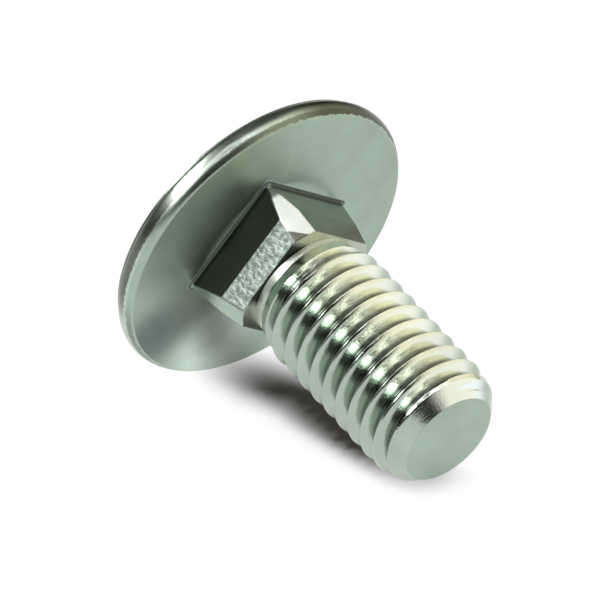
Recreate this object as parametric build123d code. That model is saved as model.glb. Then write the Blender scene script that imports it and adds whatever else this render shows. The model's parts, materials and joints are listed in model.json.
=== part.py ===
"""Carriage bolt: domed cup head, square neck and rolled thread, forged in one piece.

The bolt is modelled upright, with the underside of its head at z = 0, the dome below it and the
thread above it. It is then laid down as it comes to rest, on the rim of its head and the last
crest of its thread, with its tip towards +X and its origin on the floor under its middle.
"""
import os
from math import asin, atan2, ceil, degrees, hypot, radians, tan

from build123d import *

# Head
head_diameter = 24.0
head_height = 5.0
rim_height = 1.75
rim_bulge = 0.4
rim_land = 0.1

# Square neck
neck_width = 9.4
neck_corner_width = 13.2
neck_root_height = 0.5
neck_root_angle = 45.0
neck_side_height = 2.7
neck_taper_height = 1.95
neck_taper_angle = 9.0
corner_taper_angle = 14.5
neck_roll = 59.0

# Shank and thread
shank_length = 21.8
thread_diameter = 9.9
thread_pitch = 1.5
thread_depth = 0.92
thread_crest_width = 0.19
thread_flank_angle = 30.0
blank_diameter = 8.6
blank_length = 0.45
runout_length = 2.2
crest_setback = 0.9
crest_fade_length = 1.5
end_diameter = 9.2
tip_diameter = 7.3
tip_chamfer_length = 1.0

# How far a trimming shape reaches past the surface it makes, and the ridge into the thread's root
overrun = 0.4
ridge_sink = 0.1

# The dome is cut by a ball with its poles turned to the side, so no facets crowd round them there
pole_tilt = 80.0

# Sizes that follow from those above
head_radius = head_diameter / 2
underside_radius = head_radius - rim_bulge
neck_height = neck_side_height + neck_taper_height
crest_radius = thread_diameter / 2
root_radius = crest_radius - thread_depth
blank_radius = blank_diameter / 2
end_radius = end_diameter / 2
tip_radius = tip_diameter / 2
blank_end = neck_height + blank_length
chamfer_start = shank_length - tip_chamfer_length
last_crest = chamfer_start - crest_setback
crest_fade = (crest_radius - end_radius) / crest_fade_length


def turned(*outline):
    """A solid of revolution about the bolt's axis, from its half outline as (radius, z) points."""
    return revolve(Plane.YZ * make_face(Polyline(*outline, close=True)), Axis.Z)


def make_head():
    """A turned blank with a flat underside and a bulging rim, its back rounded to a dome by a ball.

    Its seam is turned to the place where the rim rests on the floor.
    """
    underside = Line((0, 0), (underside_radius, 0))
    rim = ThreePointArc(
        underside @ 1, (head_radius, -rim_height / 2), (underside_radius, -rim_height)
    )
    back = Polyline(
        rim @ 1, (underside_radius, -2 * head_height), (0, -2 * head_height), underside @ 0
    )
    blank = revolve(Plane.YZ * make_face([underside, rim, back]), Axis.Z)
    dome_height = head_height - rim_height - rim_land
    ball_radius = (underside_radius**2 + dome_height**2) / (2 * dome_height)
    ball = Pos(0, 0, ball_radius - head_height) * Rot(pole_tilt, 0, 0) * Sphere(ball_radius)
    return Rot(0, 0, -90) * (blank & ball)


def drawn_square(width, angle, foot, top):
    """A square bar from foot to top, drawn in by the angle, with the given width at z = 0."""
    foot_width = width - 2 * foot * tan(radians(angle))
    return extrude(Pos(0, 0, foot) * Rectangle(foot_width, foot_width), top - foot, taper=angle)


def make_neck():
    """A square with upright sides, drawn in at its outer half and corners and spread at its root."""
    sides = drawn_square(neck_width, 0, -overrun, neck_side_height)
    taper_fall = 2 * neck_side_height * tan(radians(neck_taper_angle))
    taper = drawn_square(neck_width + taper_fall, neck_taper_angle, neck_side_height, neck_height)
    corners = drawn_square(neck_corner_width, corner_taper_angle, -overrun, neck_height)
    spread = 2 * neck_root_height * tan(radians(neck_root_angle))
    root_top = neck_root_height + overrun
    root = drawn_square(neck_width + spread, neck_root_angle, -overrun, root_top)
    root_corners = drawn_square(neck_corner_width + spread, neck_root_angle, -overrun, root_top)
    diagonal = Rot(0, 0, 45)
    square = (sides + taper) & (diagonal * corners)
    return Rot(0, 0, neck_roll) * (square + (root & (diagonal * root_corners)))


def make_ridge():
    """The helical ridge of the thread, with its last crest under the bolt set back from the chamfer."""
    turns = ceil((last_crest - neck_height) / thread_pitch)
    start = last_crest - turns * thread_pitch
    length = shank_length + thread_pitch - start
    inner_radius = root_radius - ridge_sink
    crest_half = thread_crest_width / 2
    foot_half = crest_half + (crest_radius - inner_radius) * tan(radians(thread_flank_angle))
    section = Plane.XZ * Polygon(
        (inner_radius, start - foot_half),
        (crest_radius, start - crest_half),
        (crest_radius, start + crest_half),
        (inner_radius, start + foot_half),
        align=None,
    )
    path = Helix(thread_pitch, length, crest_radius, center=(0, 0, start))
    return sweep(section, path=path, is_frenet=True)


def make_shank():
    """The blank under the neck, and the thread that rises out of it and ends in the tip chamfer."""
    rise = runout_length / (crest_radius - blank_radius)
    fall = runout_length / (blank_radius - root_radius)
    outer_radius = crest_radius + overrun
    inner_radius = root_radius - overrun
    past_tip = shank_length + overrun
    foot = neck_side_height / 2
    root = turned((0, foot), (root_radius, foot), (root_radius, past_tip), (0, past_tip))
    envelope = turned(
        (0, 0),
        (inner_radius, 0),
        (inner_radius, blank_end - rise * (blank_radius - inner_radius)),
        (outer_radius, blank_end + rise * (outer_radius - blank_radius)),
        (outer_radius, chamfer_start - (outer_radius - end_radius) / crest_fade),
        (end_radius, chamfer_start),
        (tip_radius, shank_length),
        (0, shank_length),
    )
    blank_point = blank_end + fall * (blank_radius - inner_radius)
    blank = turned(
        (0, foot),
        (blank_radius, foot),
        (blank_radius, blank_end),
        (inner_radius, blank_point),
        (0, blank_point),
    )
    return ((root + make_ridge()) & envelope) + blank


def lie_down(bolt):
    """The bolt tipped over until its rim and the last crest of its thread both touch the floor."""
    rim_arc_radius = ((rim_height / 2) ** 2 + rim_bulge**2) / (2 * rim_bulge)
    last_crest_radius = end_radius + crest_setback * crest_fade
    drop = head_radius - rim_arc_radius - last_crest_radius
    reach = last_crest + rim_height / 2
    lie_angle = degrees(atan2(drop, reach) + asin(rim_arc_radius / hypot(drop, reach)))
    lying = Rot(0, 90 + lie_angle, 0) * bolt
    box = lying.bounding_box()
    return Pos(-box.center().X, -box.center().Y, -box.min.Z) * lying


carriage_bolt = lie_down(make_head() + make_neck() + make_shank())
os.makedirs("parts", exist_ok=True)
export_step(carriage_bolt, "parts/carriage_bolt.step")
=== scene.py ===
"""A zinc-plated carriage bolt lying on a white table, on the rim of its head and the end of its thread."""
import json
from math import atan2, cos, floor, pi, radians, sin, sqrt, tan

import bmesh
import bpy
from mathutils import Matrix, Vector


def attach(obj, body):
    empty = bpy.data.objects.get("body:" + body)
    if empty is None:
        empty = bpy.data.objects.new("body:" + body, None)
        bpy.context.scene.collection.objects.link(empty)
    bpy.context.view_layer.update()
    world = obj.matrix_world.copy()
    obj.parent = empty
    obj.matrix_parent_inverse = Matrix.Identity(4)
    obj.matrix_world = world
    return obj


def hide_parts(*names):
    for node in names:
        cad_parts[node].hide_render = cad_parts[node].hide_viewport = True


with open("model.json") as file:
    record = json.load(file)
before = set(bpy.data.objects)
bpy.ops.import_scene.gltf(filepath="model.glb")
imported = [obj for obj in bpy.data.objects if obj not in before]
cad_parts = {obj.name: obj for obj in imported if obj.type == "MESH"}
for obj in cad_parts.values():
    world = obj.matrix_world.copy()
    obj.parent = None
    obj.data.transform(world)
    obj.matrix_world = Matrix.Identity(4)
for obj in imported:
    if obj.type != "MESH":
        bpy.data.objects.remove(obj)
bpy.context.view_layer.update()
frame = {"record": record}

# HEAD
# The wide cup head of the bolt, forged from the end of the bar: a flat underside, a rounded rim
# and a low dome behind it. Sizes are in millimetres, with the underside at z = 0.
head_radius = 12.0
head_height = 5.0
rim_height = 1.75
rim_bulge = 0.4
rim_land = 0.1
head_edge = 0.07
edge_segments = 2
rim_steps = 16
dome_steps = 24
round_steps = 160
tiny = 0.001

underside_radius = head_radius - rim_bulge
rim_radius = ((rim_height / 2) ** 2 + rim_bulge**2) / (2 * rim_bulge)
rim_centre = Vector((head_radius - rim_radius, 0, -rim_height / 2))
rim_half_angle = atan2(rim_height / 2, underside_radius - rim_centre.x)
dome_height = head_height - rim_height - rim_land
dome_radius = (underside_radius**2 + dome_height**2) / (2 * dome_height)
dome_centre = Vector((0, 0, dome_radius - head_height))
dome_angle = atan2(underside_radius, dome_radius - dome_height)


def add_outline(mesh, *points):
    """Edges from point to point."""
    corners = [mesh.verts.new(point) for point in points]
    for start, end in zip(corners, corners[1:]):
        mesh.edges.new((start, end))
    return corners


def sweep_arc(mesh, start, centre, angle, steps):
    """An arc of edges from a point of the outline, about a line through the centre along Y."""
    bmesh.ops.spin(mesh, geom=[start], cent=centre, axis=(0, 1, 0), angle=angle, steps=steps)


def finish_shell(mesh):
    """Closes the seams of a shell and turns its faces outwards."""
    bmesh.ops.remove_doubles(mesh, verts=mesh.verts, dist=tiny)
    bmesh.ops.recalc_face_normals(mesh, faces=mesh.faces)


def round_edges(mesh, edges, width):
    """Edges rounded off over the given width."""
    bmesh.ops.bevel(
        mesh, geom=edges, offset=width, segments=edge_segments, profile=0.5, affect="EDGES", material=-1
    )


def as_object(mesh, name):
    """The shell as an object of the scene."""
    data = bpy.data.meshes.new(name)
    mesh.to_mesh(data)
    mesh.free()
    shell = bpy.data.objects.new(name, data)
    bpy.context.scene.collection.objects.link(shell)
    return shell


def on_underside_edge(vert):
    """Whether a point lies where the flat underside meets the rim."""
    return abs(vert.co.z) < tiny and abs(vert.co.xy.length - underside_radius) < tiny


head_mesh = bmesh.new()
underside = add_outline(head_mesh, (0, 0, 0), (underside_radius / 2, 0, 0), (underside_radius, 0, 0))
sweep_arc(head_mesh, underside[-1], rim_centre, 2 * rim_half_angle, rim_steps)
rim_foot = -rim_height
land = add_outline(head_mesh, (underside_radius, 0, rim_foot), (underside_radius, 0, rim_foot - rim_land))
sweep_arc(head_mesh, land[-1], dome_centre, dome_angle, dome_steps)
bmesh.ops.remove_doubles(head_mesh, verts=head_mesh.verts, dist=tiny)
bmesh.ops.spin(
    head_mesh, geom=head_mesh.verts[:] + head_mesh.edges[:], cent=(0, 0, 0), axis=(0, 0, 1),
    angle=2 * pi, steps=round_steps, use_merge=True,
)
finish_shell(head_mesh)
underside_edge = [edge for edge in head_mesh.edges if all(map(on_underside_edge, edge.verts))]
round_edges(head_mesh, underside_edge, head_edge)
head = as_object(head_mesh, "head")

# NECK
# The square neck under the head, which bites into its hole and stops the bolt from turning. Its
# outer half is drawn in and its corners are cut back where the bar was squeezed into the die.
neck_width = 9.4
neck_corner_width = 13.2
neck_root = 0.32
root_steps = 3
neck_side_height = 2.7
neck_taper_height = 1.95
neck_taper_angle = radians(9.0)
corner_taper_angle = radians(14.5)
neck_roll = radians(59.0)
neck_edge = 0.05
sink = 0.4


def draw_out(mesh, face, rise, spread):
    """The face drawn out along the axis, with its width scaled by the spread."""
    drawn = bmesh.ops.extrude_face_region(mesh, geom=[face])
    bmesh.ops.delete(mesh, geom=[face], context="FACES_ONLY")
    drawn_verts = [item for item in drawn["geom"] if isinstance(item, bmesh.types.BMVert)]
    bmesh.ops.translate(mesh, vec=(0, 0, rise), verts=drawn_verts)
    bmesh.ops.scale(mesh, vec=(spread, spread, 1), verts=drawn_verts)


def cut_away(mesh, place, outwards):
    """Cuts off what lies outside a plane and gives the edges of the cut."""
    whole = mesh.verts[:] + mesh.edges[:] + mesh.faces[:]
    cut = bmesh.ops.bisect_plane(mesh, geom=whole, plane_co=place, plane_no=outwards, clear_outer=True)
    return [item for item in cut["geom_cut"] if isinstance(item, bmesh.types.BMEdge)]


def level(face):
    """The height of a face's middle."""
    return face.calc_center_median().z


neck_mesh = bmesh.new()
bmesh.ops.create_cube(neck_mesh, size=1.0)
neck_stretch = (neck_width, neck_width, neck_side_height - neck_root)
bmesh.ops.scale(neck_mesh, vec=neck_stretch, verts=neck_mesh.verts)
bmesh.ops.translate(neck_mesh, vec=(0, 0, (neck_side_height + neck_root) / 2), verts=neck_mesh.verts)
taper_share = 1 - 2 * neck_taper_height * tan(neck_taper_angle) / neck_width
draw_out(neck_mesh, max(neck_mesh.faces, key=level), neck_taper_height, taper_share)
for quarter in range(4):
    corner_angle = pi / 4 + quarter * pi / 2
    corner_way = Vector((cos(corner_angle), sin(corner_angle), 0))
    slope = Vector((0, 0, tan(corner_taper_angle)))
    cut_edges = cut_away(neck_mesh, corner_way * neck_corner_width / 2, corner_way + slope)
    bmesh.ops.holes_fill(neck_mesh, edges=cut_edges)
root_width = neck_width
for step in range(root_steps):
    start = pi / 2 * step / root_steps
    end = pi / 2 * (step + 1) / root_steps
    wider = root_width + 2 * neck_root * (cos(start) - cos(end))
    root_fall = neck_root * (sin(start) - sin(end))
    draw_out(neck_mesh, min(neck_mesh.faces, key=level), root_fall, wider / root_width)
    root_width = wider
draw_out(neck_mesh, min(neck_mesh.faces, key=level), -sink, 1)
finish_shell(neck_mesh)
round_edges(neck_mesh, neck_mesh.edges[:], neck_edge)
neck_turn = Matrix.Rotation(neck_roll, 3, "Z")
bmesh.ops.rotate(neck_mesh, cent=(0, 0, 0), matrix=neck_turn, verts=neck_mesh.verts)
neck = as_object(neck_mesh, "neck")

# SHANK
# The round shank with its rolled right-hand thread. The thread fades out into the plain blank
# below the neck, its crests and roots are rounded by the rolling, and the tip is chamfered.
shank_length = 21.8
crest_radius = 4.95
pitch = 1.5
thread_depth = 0.92
crest_half = 0.095
flank_angle = radians(30.0)
crest_rounding = 0.2
root_rounding = 0.1
blank_radius = 4.3
blank_end = 5.1
runout = 2.2
last_crest = 19.9
end_radius = 4.6
crest_fade_length = 1.5
tip_radius = 3.65
chamfer_length = 1.0
shank_foot = 2.0
turn_steps = 128
pitch_cuts = 27
root_radius = crest_radius - thread_depth
chamfer_start = shank_length - chamfer_length


def rounded(value, softness):
    """The value where it is above zero and zero below, with a soft bend between."""
    return (value + sqrt(value**2 + softness**2)) / 2


crest_drop = rounded(-crest_half / tan(flank_angle), crest_rounding)


def thread_radius(angle, z):
    """The radius of the shank where it is cut by a ray at that angle and height."""
    turns = (z - last_crest) / pitch - angle / (2 * pi)
    from_crest = abs(turns - round(turns)) * pitch
    fall = rounded((from_crest - crest_half) / tan(flank_angle), crest_rounding) - crest_drop
    radius = root_radius + rounded(thread_depth - fall, root_rounding)
    past_blank = (z - blank_end) / runout
    radius = min(radius, blank_radius + past_blank * (crest_radius - blank_radius))
    radius = max(radius, min(blank_radius, blank_radius - past_blank * (blank_radius - root_radius)))
    fade = (chamfer_start - z) / crest_fade_length
    radius = min(radius, end_radius + fade * (crest_radius - end_radius))
    from_tip = (shank_length - z) / chamfer_length
    return min(radius, tip_radius + from_tip * (end_radius - tip_radius))


shank_mesh = bmesh.new()
first_turn = shank_foot - 2 * pitch
add_outline(shank_mesh, (crest_radius, 0, first_turn), (crest_radius, 0, first_turn + pitch))
bmesh.ops.subdivide_edges(shank_mesh, edges=shank_mesh.edges[:], cuts=pitch_cuts)
bmesh.ops.spin(
    shank_mesh, geom=shank_mesh.verts[:] + shank_mesh.edges[:], cent=(0, 0, 0), axis=(0, 0, 1),
    angle=2 * pi, dvec=(0, 0, pitch / turn_steps), steps=turn_steps,
)
one_turn = shank_mesh.verts[:] + shank_mesh.edges[:] + shank_mesh.faces[:]
more_turns = floor((shank_length - first_turn) / pitch) + 1
for turn in range(more_turns):
    copy = bmesh.ops.duplicate(shank_mesh, geom=one_turn)
    copied = [item for item in copy["geom"] if isinstance(item, bmesh.types.BMVert)]
    bmesh.ops.translate(shank_mesh, vec=(0, 0, (turn + 1) * pitch), verts=copied)
bmesh.ops.remove_doubles(shank_mesh, verts=shank_mesh.verts, dist=tiny)
for vert in shank_mesh.verts:
    angle = atan2(vert.co.y, vert.co.x)
    rolled_radius = thread_radius(angle, vert.co.z)
    vert.co.x = rolled_radius * cos(angle)
    vert.co.y = rolled_radius * sin(angle)
for end, outwards in ((shank_foot, -1), (shank_length, 1)):
    cut_edges = cut_away(shank_mesh, (0, 0, end), (0, 0, outwards))
    bmesh.ops.contextual_create(shank_mesh, geom=cut_edges)
finish_shell(shank_mesh)
shank = as_object(shank_mesh, "shank")

# BOLT
# Head, neck and shank are one steel forging, so the three shells are joined into one closed skin and
# laid down, tip towards +X, as the bolt rests on its rim and thread. It is plated with bright zinc,
# satin under the head and polished on the thread, with painted shade in its hollows and on the neck,
# and painted highlights and dark reflections on its rim and its lit upper side.
millimetre = 0.001
sharp_angle = radians(35.0)
neck_height = neck_side_height + neck_taper_height
mounts = {mount["name"]: mount for mount in frame["record"]["mounts"]}
neck_middle = Vector(mounts["square_neck"]["pos_m"]) / millimetre
axis = Vector(mounts["square_neck"]["axis"])
underside_centre = neck_middle - axis * neck_height / 2
lie_angle = atan2(-axis.z, axis.x)

for shell in (neck, shank):
    join = head.modifiers.new(shell.name, "BOOLEAN")
    join.operation = "UNION"
    join.solver = "EXACT"
    join.object = shell
forging = head.evaluated_get(bpy.context.evaluated_depsgraph_get())
skin = bpy.data.meshes.new_from_object(forging)
for shell in (head, neck, shank):
    bpy.data.objects.remove(shell)
lying = Matrix.Rotation(pi / 2 + lie_angle, 4, "Y")
skin.transform(Matrix.Scale(millimetre, 4) @ Matrix.Translation(underside_centre) @ lying)
skin.shade_smooth()
skin.set_sharp_from_angle(angle=sharp_angle)
bolt = bpy.data.objects.new("bolt", skin)
bpy.context.scene.collection.objects.link(bolt)
even = bolt.modifiers.new("even_flats", "WEIGHTED_NORMAL")
even.keep_sharp = True
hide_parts("carriage_bolt")
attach(bolt, "root")

# The bright metal throws no flecks of light onto the table.
bolt.visible_diffuse = False


class Finish:
    """A value, colour or place on its way through a material's nodes, written as plain expressions."""

    def __init__(self, tree, socket):
        self.tree = tree
        self.socket = socket

    @classmethod
    def source(cls, tree, kind, output):
        """What a node without sockets of its own gives, such as a place on the surface."""
        return cls(tree, tree.nodes.new(kind).outputs[output])

    def node(self, kind, settings, inputs, output=0):
        """A node of that kind, its settings made first and then its sockets set or linked."""
        made = self.tree.nodes.new(kind)
        for name, setting in settings.items():
            setattr(made, name, setting)
        for name, given in inputs.items():
            if isinstance(given, Finish):
                given.feed(made.inputs[name])
            else:
                made.inputs[name].default_value = given
        return Finish(self.tree, made.outputs[output])

    def feed(self, socket):
        """Links this value to a socket."""
        self.tree.links.new(self.socket, socket)

    def math(self, operation, *values):
        return self.node("ShaderNodeMath", {"operation": operation}, dict(enumerate(values)))

    def __add__(self, other):
        return self.math("ADD", self, other)

    __radd__ = __add__

    def __sub__(self, other):
        return self.math("SUBTRACT", self, other)

    def __rsub__(self, other):
        return self.math("SUBTRACT", other, self)

    def __mul__(self, other):
        return self.math("MULTIPLY", self, other)

    __rmul__ = __mul__

    def vector(self, operation, *others, output=0):
        """This place or way worked on as a vector."""
        inputs = dict(enumerate((self, *others)))
        return self.node("ShaderNodeVectorMath", {"operation": operation}, inputs, output)

    def dot(self, way):
        """How far this place lies along a way."""
        return self.vector("DOT_PRODUCT", way, output="Value")

    def distance(self, place):
        """How far this place lies from another."""
        return self.vector("DISTANCE", place, output="Value")

    def length(self):
        """How far this place lies from the origin."""
        return self.vector("LENGTH", output="Value")

    def part(self, name):
        """The X, Y or Z of this place."""
        return self.node("ShaderNodeSeparateXYZ", {}, {"Vector": self}, name)

    def rise(self, low, high):
        """A soft step from 0 at the low value to 1 at the high one."""
        return self.node(
            "ShaderNodeMapRange", {"interpolation_type": "SMOOTHSTEP"},
            {"Value": self, "From Min": low, "From Max": high},
        )

    def between(self, low, high, soft):
        """A mask that is 1 from the low value to the high one and fades out within the soft width."""
        return self.rise(low - soft, low) * (1 - self.rise(high, high + soft))

    def blend(self, start, end):
        """The colour start where this mask is 0 and end where it is 1."""
        return self.node("ShaderNodeMix", {"data_type": "RGBA"}, {0: self, 6: start, 7: end}, 2)

    def noise(self, scale, detail=3, stretch=(1, 1, 1)):
        """Cloudy noise between 0 and 1 over this place, drawn out by the stretch."""
        drawn = self.vector("MULTIPLY", stretch)
        return self.node("ShaderNodeTexNoise", {}, {"Vector": drawn, "Scale": scale, "Detail": detail})


# Places on the upright bolt, in millimetres, with the square of the neck along X and Y.
zinc = bpy.data.materials.new("zinc")
zinc.use_nodes = True
shader = zinc.node_tree.nodes["Principled BSDF"]
shader.inputs["Metallic"].default_value = 1.0
spot = Finish.source(zinc.node_tree, "ShaderNodeTexCoord", "Object")
upright = spot.node("ShaderNodeMapping", {"vector_type": "TEXTURE"}, {
    "Vector": spot,
    "Location": underside_centre * millimetre,
    "Rotation": (lying @ Matrix.Rotation(neck_roll, 4, "Z")).to_euler(),
    "Scale": (millimetre, millimetre, millimetre),
})
along = upright.part("Z")
sideways = upright.part("X")
upwards = upright.part("Y")
across = upright.vector("MULTIPLY", (1, 1, 0))
from_axis = across.length()

# The turned faces, one after the other from the head to the tip.
seam = 0.05
underside_fade = 0.02
neck_foot = 0.3
blank_gap = 0.02
blank_lap = 0.2
thread_fade = 0.3
root_shade_reach = (0.03, 0.32)
chamfer_lap = 0.1
tip_skin = 0.01
tip_fade = 0.02
on_underside = along.between(0, seam, underside_fade)
on_rim = from_axis.rise(underside_radius - seam, underside_radius)
on_neck = along.between(neck_foot, neck_height, neck_foot)
on_shank = along.rise(neck_height, neck_height + seam)
on_blank = along.between(neck_height + blank_gap, blank_end + blank_lap, seam)
on_thread = along.rise(blank_end - thread_fade, blank_end + thread_fade)
on_chamfer = along.rise(chamfer_start - chamfer_lap, chamfer_start)
# Painted shade in the roots of the thread.
in_root_shade = on_thread * (1 - (from_axis - root_radius).rise(*root_shade_reach)) * (1 - on_chamfer)
on_tip = along.rise(shank_length - tip_skin - tip_fade, shank_length - tip_skin)

# The faces of the neck: the side that was struck by the die, pitted on its taper and with painted
# shade below that, the worn upper corner with a painted highlight, and painted shade in the fold
# at that corner's foot, at its top by the head, on the step at the neck's end and in the cove at its root.
corner_lap = 0.12
struck_reach = (0.6, 0.9)
shaded_side_reach = (0.1, 0.2)
near_reach = (3.7, 4.2)
upper_reach = (0.5, 1.0)
step_half = 0.06
step_span = (-2.0, 2.6, 0.8)
fold_slant = 0.82
fold_reach = (4.35, 4.5)
peak_reach = (0.9, 1.3)
cove_span = (0.03, 0.4, 0.02)
corner_line = (sqrt(0.5), sqrt(0.5), 0)
corner_cut = across.vector("ABSOLUTE").dot(corner_line) + along * tan(corner_taper_angle)
on_corner = on_neck * (corner_cut - neck_corner_width / 2).rise(-corner_lap, -corner_lap / 2)
into_side = sideways + neck_width / 2
on_struck_side = 1 - into_side.rise(*struck_reach)
on_near_half = 1 - into_side.rise(*near_reach)
on_taper = along.between(neck_side_height, neck_height, seam) * (1 - on_corner) * on_struck_side
# Painted shade on the sides of the neck, darker on the struck side below its taper.
on_side = along.between(neck_foot, neck_height, seam) * (1 - on_corner) * (1 - on_taper)
on_shaded_side = on_side * (1 - into_side.rise(*shaded_side_reach))
on_neck_end = along.between(neck_height - step_half, neck_height + step_half, step_half / 2)
# Painted shade on the step at the neck's end.
on_shaded_step = on_neck_end * on_near_half * upwards.between(*step_span)
# The worn upper corner, which also gets a painted highlight.
on_struck_corner = on_corner * on_near_half * upwards.rise(*upper_reach)
# Painted shade in the fold at the corner's foot and at its top by the head, and in the cove at the neck's
# root.
on_shaded_fold = on_struck_corner * (along - fold_slant * upright.dot(corner_line)).rise(*fold_reach)
on_shaded_peak = on_struck_corner * (1 - along.rise(*peak_reach))
in_shaded_cove = along.between(*cove_span) * (1 - on_corner)

# Stretches round the axis, each with its middle, the half angle that it covers and where it ends.
# The upper side of the shank, which gets a painted highlight where the lamps light it.
lit_top = (pi - neck_roll, radians(19.95), radians(48.7))
# The two stretches of the rim below get painted dark reflections.
side_rim_reflection = (radians(199.03), radians(14.07), radians(32.86))
top_rim_reflection = (radians(85.99), radians(21.57), radians(38.74))


def around(middle, core, spread):
    """A mask that is 1 within the core angle of a way round the axis and fades out at the spread."""
    way = (cos(middle), sin(middle), 0)
    return across.vector("NORMALIZE").dot(way).rise(cos(spread), cos(core))


on_lit_top = around(*lit_top)
on_side_rim_reflection = around(*side_rim_reflection)
on_top_rim_reflection = around(*top_rim_reflection)

# Clouds, grain and pits of the surface, and a wavering height for the edges of the painted bands on the
# rim.
smudge_scale = 0.35
smudge_detail = 4
grain_scale = 7.0
ring_scale = 1.0
ring_stretch = (0.5, 0.5, 5.0)
pit_scale = 2.6
pit_shares = (0.35, 0.65)
ragged_scale = 3.0
ragged_swing = 0.3
smudge = upright.noise(smudge_scale, smudge_detail)
grain = upright.noise(grain_scale)
rings = upright.noise(ring_scale, stretch=ring_stretch)
pits = upright.noise(pit_scale)
ragged = along + ragged_swing * (upright.noise(ragged_scale) - 0.5)

# The plating on the shank and the rest, with a painted highlight on the lit upper side of the shank,
# a painted light patch under the head and a darker patch near its rim.
zinc_colour = (0.385, 0.485, 0.395, 1)
thread_colour = (0.42, 0.50, 0.42, 1)
painted_highlight_colour = (0.86, 0.90, 0.78, 1)
lit_patch_colour = (0.74, 0.88, 0.80, 1)
lit_patch_place = (2.0, -8.3, 0)
lit_patch_reach = (1.5, 5.0)
dark_patch_colour = (0.12, 0.16, 0.165, 1)
dark_patch_place = (-4.7, -9.7, 0)
dark_patch_reach = (1.0, 4.5)
dark_patch_share = 0.85
# A painted light patch under the head, where it mirrors the shaded table.
in_lit_patch = on_underside * (1 - across.distance(lit_patch_place).rise(*lit_patch_reach))
in_dark_patch = on_underside * (1 - across.distance(dark_patch_place).rise(*dark_patch_reach))
colour = on_shank.blend(zinc_colour, on_lit_top.blend(thread_colour, painted_highlight_colour))
colour = in_lit_patch.blend(colour, lit_patch_colour)
colour = (in_dark_patch * dark_patch_share).blend(colour, dark_patch_colour)

# The bare taper of the neck, its worn corner with a painted highlight, and the rim, with a painted
# highlight band in its middle and painted dark reflections along its edges.
bare_colour = (0.49, 0.57, 0.52, 1)
pitted_colour = (0.25, 0.31, 0.285, 1)
wear_and_highlight_colour = (0.72, 0.78, 0.72, 1)
painted_dark_colour = (0.088, 0.094, 0.074, 1)
rim_highlight_span = (-1.3, -0.5, 0.1)
rim_highlight_share = 0.35
rim_edge_span = (-0.4, -0.14, 0.08)
rim_edge_share = 0.5
top_reflection_span = (-1.2, -0.12, 0.06)
top_reflection_share = 0.9
side_reflection_span = (-1.8, -0.7, 0.12)
side_reflection_share = 0.85
# Painted dark reflections along the rim's edge and on two stretches of it.
on_rim_edge = on_rim * ragged.between(*rim_edge_span) * (1 - on_side_rim_reflection)
on_crown_reflection = on_rim * ragged.between(*top_reflection_span) * on_top_rim_reflection
on_side_reflection = on_rim * ragged.between(*side_reflection_span) * on_side_rim_reflection
colour = on_taper.blend(colour, pits.rise(*pit_shares).blend(pitted_colour, bare_colour))
colour = on_struck_corner.blend(colour, wear_and_highlight_colour)
# A painted highlight band round the middle of the rim.
colour = (on_rim * ragged.between(*rim_highlight_span) * rim_highlight_share).blend(colour, wear_and_highlight_colour)
colour = (on_rim_edge * rim_edge_share).blend(colour, painted_dark_colour)
colour = (on_crown_reflection * top_reflection_share).blend(colour, painted_dark_colour)
colour = (on_side_reflection * side_reflection_share).blend(colour, painted_dark_colour)

# Painted shade on the sides of the neck, darkest on the struck side, a painted highlight on the blank,
# painted shade in the roots, fold, step and cove, and a painted highlight on the lit side of the chamfer.
side_shade_colour = (0.17, 0.20, 0.155, 1)
painted_shade_colour = (0.05, 0.062, 0.048, 1)
chamfer_highlight_colour = (0.90, 1.0, 1.0, 1)
side_shade_share = 0.7
shaded_side_share = 0.95
blank_highlight_share = 0.6
root_shade_share = 0.9
fold_shade_share = 0.9
cove_shade_share = 0.95
shade_low_share = 0.8
shade_swing_share = 0.4
colour = (on_side * side_shade_share).blend(colour, side_shade_colour)
colour = (on_shaded_side * shaded_side_share).blend(colour, painted_dark_colour)
# A painted highlight on the blank below the neck.
colour = (on_blank * blank_highlight_share).blend(colour, painted_highlight_colour)
colour = (in_root_shade * root_shade_share).blend(colour, painted_shade_colour)
# A painted highlight on the lit upper side of the chamfer.
colour = on_chamfer.blend(colour, on_lit_top.blend(thread_colour, chamfer_highlight_colour))
colour = on_shaded_step.blend(colour, painted_shade_colour)
colour = ((on_shaded_fold + on_shaded_peak) * fold_shade_share).blend(colour, painted_dark_colour)
colour = (in_shaded_cove * cove_shade_share).blend(colour, painted_shade_colour)
colour = on_tip.blend(colour, zinc_colour)
shade = shade_low_share + shade_swing_share * smudge
colour = colour.node("ShaderNodeVectorMath", {"operation": "SCALE"}, {0: colour, "Scale": shade})
colour.feed(shader.inputs["Base Color"])

# The gloss, which is satin on the flat faces and highest on the thread.
plain_roughness = 0.22
satin_roughness = 0.2
pitted_roughness = 0.26
rim_roughness = 0.09
thread_polish = 0.06
roughness_swing = 0.1
roughness = plain_roughness + satin_roughness * (on_underside + on_tip + on_blank)
roughness = roughness + pitted_roughness * on_taper + rim_roughness * on_rim - thread_polish * on_thread
roughness = roughness + roughness_swing * (smudge + rings - 1)
roughness.feed(shader.inputs["Roughness"])

# The relief of the surface, in parts of the bump's depth.
bump_depth = 0.05
bump_strength = 0.5
grain_relief = 0.2
pit_relief = 3.0
ring_relief = 0.4
relief = grain_relief * (grain + on_thread * grain) + pit_relief * on_taper * pits
relief = relief + ring_relief * on_thread * rings
bump = relief.node("ShaderNodeBump", {}, {
    "Strength": bump_strength, "Distance": bump_depth * millimetre, "Height": relief,
})
bump.feed(shader.inputs["Normal"])
skin.materials.clear()
skin.materials.append(zinc)

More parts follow.
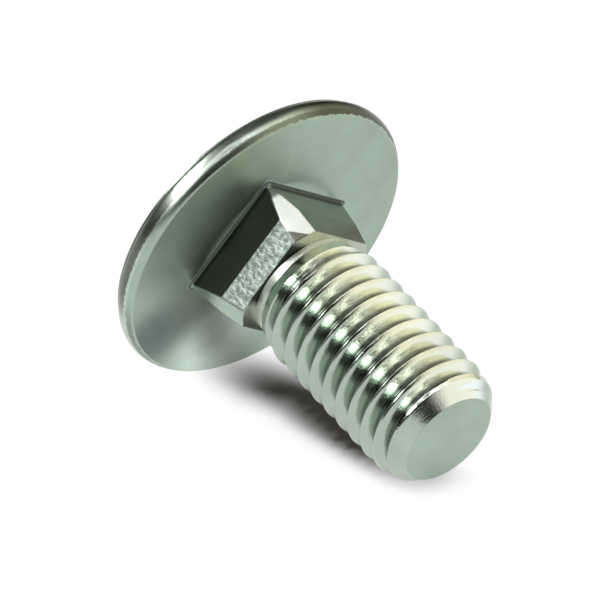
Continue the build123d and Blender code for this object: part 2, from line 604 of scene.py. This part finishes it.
# TABLE
# A plain white table top that the bolt lies on, large enough to fill the view. It keeps the bolt's
# shadow close by, and further away it is plain white, to the eye and in the metal.
table_size = 1.5
white = (0.95, 0.95, 0.95, 1)
white_level = 1.0
shadow_centre = Vector((-1, 0, 0)) * millimetre
shadow_reach = Vector((18, 5.5, 1)) * millimetre
shadow_fade_shares = (0.3, 0.95)


def seen_rays(tree):
    """1 for what the camera or the metal sees, and 0 for light that falls on other things."""
    camera_ray = Finish.source(tree, "ShaderNodeLightPath", "Is Camera Ray")
    glossy_ray = Finish.source(tree, "ShaderNodeLightPath", "Is Glossy Ray")
    return camera_ray + glossy_ray


table_mesh = bmesh.new()
bmesh.ops.create_grid(table_mesh, x_segments=1, y_segments=1, size=table_size)
table = as_object(table_mesh, "table")
paper = bpy.data.materials.new("paper")
paper.use_nodes = True
spot = Finish.source(paper.node_tree, "ShaderNodeTexCoord", "Object")
from_bolt = spot.vector("SUBTRACT", shadow_centre).vector("DIVIDE", shadow_reach).length()
past_shadow = seen_rays(paper.node_tree) * from_bolt.rise(*shadow_fade_shares)
matt = spot.node("ShaderNodeBsdfDiffuse", {}, {"Color": white})
plain = spot.node("ShaderNodeEmission", {}, {"Strength": white_level})
top = spot.node("ShaderNodeMixShader", {}, {0: past_shadow, 1: matt, 2: plain})
top.feed(paper.node_tree.nodes["Material Output"].inputs["Surface"])
table.data.materials.append(paper)

# LIGHT
# Soft studio light. A square key lamp above the camera throws the shadow behind the bolt and isn't
# mirrored in it. The metal alone shows a canopy round that lamp, a long strip low on the left, a
# ceiling panel and a pale wall on the right.
wall_way = Vector((0.5, 0.8, 0.33))
wall_colour = (1.0, 0.93, 0.77, 1)
wall_level = 1.0
wall_core = radians(31.79)
wall_spread = radians(65.17)
dim_level = 0.035
lamp_target = Vector((0, 0, 0.01))
key_place = Vector((0.085, -0.13, 0.42))
key_size = 0.16
key_power = 2.1
canopy_size = 0.25
canopy_power = 0.58
strip_place = Vector((-0.14, -0.3, 0.306))
strip_width = 0.8
strip_height = 0.12
strip_power = 2.9
ceiling_place = Vector((0.1125, 0.065, 0.43))
ceiling_size = 0.26
ceiling_power = 0.15

world = bpy.context.scene.world or bpy.data.worlds.new("room")
bpy.context.scene.world = world
world.use_nodes = True
room = world.node_tree
towards_wall = Finish.source(room, "ShaderNodeTexCoord", "Generated").dot(wall_way)
on_wall = seen_rays(room) * towards_wall.rise(cos(wall_spread), cos(wall_core))
room_level = dim_level + (wall_level - dim_level) * on_wall
room.nodes["Background"].inputs["Color"].default_value = wall_colour
room_level.feed(room.nodes["Background"].inputs["Strength"])


def add_lamp(name, place, width, height, power):
    """A soft lamp, wide and high as given, that faces the bolt."""
    lamp = bpy.data.lights.new(name, "AREA")
    lamp.shape = "RECTANGLE"
    lamp.size = width
    lamp.size_y = height
    lamp.energy = power
    holder = bpy.data.objects.new(name, lamp)
    holder.location = place
    holder.rotation_euler = (lamp_target - place).to_track_quat("-Z", "Y").to_euler()
    bpy.context.scene.collection.objects.link(holder)
    return holder


key = add_lamp("key", key_place, key_size, key_size, key_power)
key.visible_glossy = False
canopy = add_lamp("canopy", key_place, canopy_size, canopy_size, canopy_power)
strip = add_lamp("strip", strip_place, strip_width, strip_height, strip_power)
ceiling = add_lamp("ceiling", ceiling_place, ceiling_size, ceiling_size, ceiling_power)
for mirrored in (canopy, strip, ceiling):
    mirrored.visible_diffuse = False

# CAMERA
# A long lens that looks down on the underside of the head, with the tip towards it on the right.
camera_azimuth = radians(51.8)
camera_elevation = radians(26.46)
camera_distance = 0.5
nearest_view = 0.01
sensor_width = 36.0
image_width = 600
pixels_per_millimetre = 14.05
aim_right = 2.38
aim_up = -3.95
view_width = image_width / pixels_per_millimetre * millimetre
back = Vector((
    sin(camera_azimuth) * cos(camera_elevation),
    -cos(camera_azimuth) * cos(camera_elevation),
    sin(camera_elevation),
))
right = Vector((cos(camera_azimuth), sin(camera_azimuth), 0))
up = back.cross(right)
aim = (underside_centre + right * aim_right + up * aim_up) * millimetre
lens = bpy.data.cameras.new("camera")
lens.sensor_width = sensor_width
lens.lens = sensor_width * camera_distance / view_width
lens.clip_start = nearest_view
camera = bpy.data.objects.new("camera", lens)
camera.location = aim + back * camera_distance
camera.rotation_euler = back.to_track_quat("Z", "Y").to_euler()
bpy.context.scene.collection.objects.link(camera)
bpy.context.scene.camera = camera

bpy.context.scene.view_settings.view_transform = "Standard"
